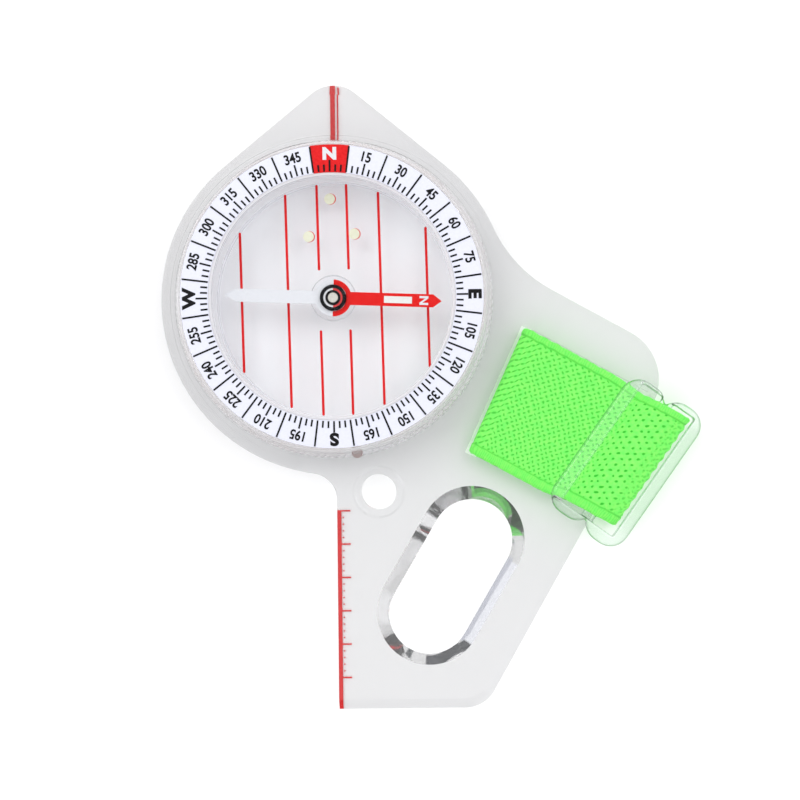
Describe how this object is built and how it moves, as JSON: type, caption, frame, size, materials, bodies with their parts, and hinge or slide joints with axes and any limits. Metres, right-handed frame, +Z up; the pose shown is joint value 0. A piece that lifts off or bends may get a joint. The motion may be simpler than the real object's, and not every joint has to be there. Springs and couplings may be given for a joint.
{
  "type": "thumb compass",
  "caption": "Clear baseplate compass with a turning capsule, red and white needle, angled thumb side, view window, edge scale and green elastic thumb strap with a slider.",
  "frame": {"origin": "on the capsule's axis, at the plate's underside", "axes": "+Z up out of the dial, +Y towards the plate's tip along the ruler edge, +X towards the thumb side"},
  "size_m": [0.0799, 0.0931, 0.0099],
  "materials": {
    "clear_plate": "clear moulded plastic, satin",
    "clear_capsule": "clear moulded plastic, polished",
    "clear_chamber": "clear moulded plastic, wetted by the capsule's liquid",
    "clear_buckle": "clear moulded plastic, polished",
    "red_ink": "printed red ink",
    "black_ink": "printed black ink",
    "white_dial": "printed white dial, satin",
    "luminous_paint": "luminous paint, matt",
    "red_needle": "lacquered red",
    "white_needle": "lacquered white",
    "black_plastic": "moulded black plastic",
    "magnet_steel": "plated magnet",
    "steel": "hardened steel, polished",
    "silicone": "translucent silicone",
    "green_elastic": "knitted elastic, bright green"
  },
  "bodies": {
    "baseplate": {"baseplate": "clear_plate", "direction_line": "red_ink", "edge_scale": "red_ink", "edge_scale_dots": "red_ink", "friction_ring": "silicone", "thumb_strap": "green_elastic"},
    "capsule": {"capsule_bezel": "clear_capsule", "dial_ring": "white_dial", "north_sector": "red_ink", "dial_marks_long": "black_ink", "dial_marks_medium": "black_ink", "dial_marks_short": "black_ink", "capsule_lens": "clear_capsule", "capsule_base": "clear_chamber", "orienting_lines": "red_ink", "dot_backings": "red_ink", "luminous_dots": "luminous_paint", "filling_plug": "clear_capsule", "pivot_seat": "clear_chamber", "pivot_pin": "steel", "retaining_ring": "clear_plate"},
    "needle": {"needle_north_blade": "red_needle", "needle_south_blade": "white_needle", "needle_hub_disc": "clear_chamber", "needle_bushing": "black_plastic", "needle_cap_ring": "white_needle", "needle_jewel": "luminous_paint", "needle_magnets": "magnet_steel", "needle_luminous_patch": "luminous_paint", "needle_north_mark": "white_needle"},
    "buckle": {"strap_buckle": "clear_buckle"}
  },
  "joints": [
    {"name": "capsule_turn", "type": "hinge", "parent": "baseplate", "child": "capsule", "pos_m": [0, 0, 0.003], "axis": [0, 0, 1], "continuous": true},
    {"name": "needle_swing", "type": "hinge", "parent": "capsule", "child": "needle", "pos_m": [0, 0, 0.0065], "axis": [0, 0, 1], "continuous": true},
    {"name": "buckle_slide", "type": "slide", "parent": "baseplate", "child": "buckle", "axis": [0.8763, -0.4818, 0], "range_m": [-0.003, 0.002], "deforming": ["thumb_strap"]}
  ]
}
